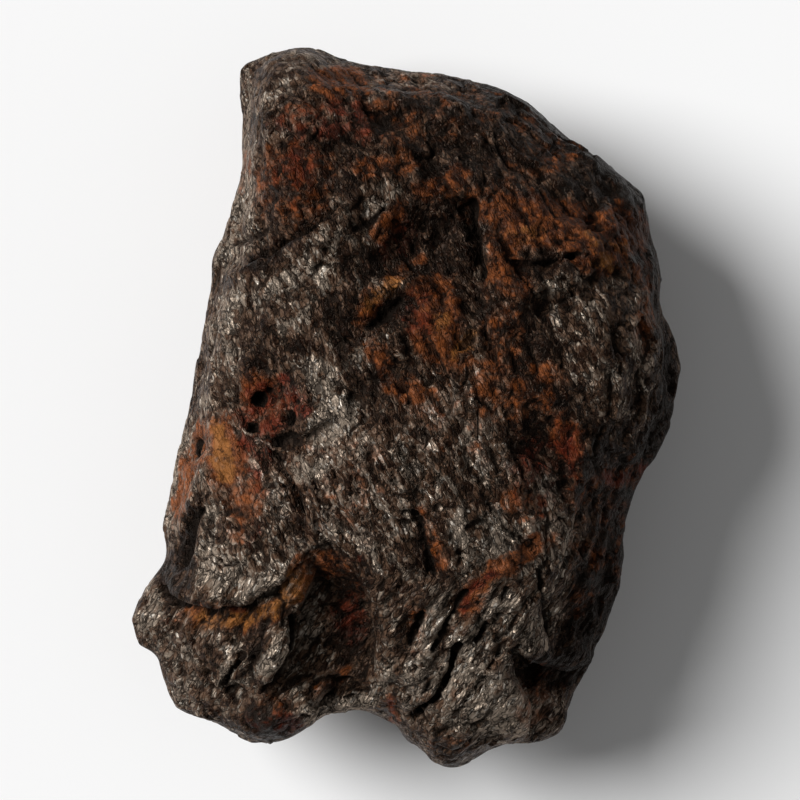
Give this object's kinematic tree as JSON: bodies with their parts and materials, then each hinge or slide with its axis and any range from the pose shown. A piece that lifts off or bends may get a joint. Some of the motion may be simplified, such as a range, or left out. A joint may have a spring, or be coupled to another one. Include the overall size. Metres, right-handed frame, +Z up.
{
  "type": "meteorite",
  "caption": "Weathered iron-rich meteorite: one lumpy dark brown stone with ledges, clefts, pits and rust, lying on the broken flat of its back.",
  "frame": {"origin": "bottom centre of the stone's box, on the floor it rests on", "axes": "+Z up out of its front; +Y along its length towards the narrow top end; +X towards its right side as the front is looked at"},
  "size_m": [0.0838, 0.11, 0.0445],
  "materials": {
    "weathered_iron": "glossy dark brown patina with rust patches and pale grey metallic grain"
  },
  "bodies": {
    "root": {"meteorite": "weathered_iron"}
  },
  "joints": []
}
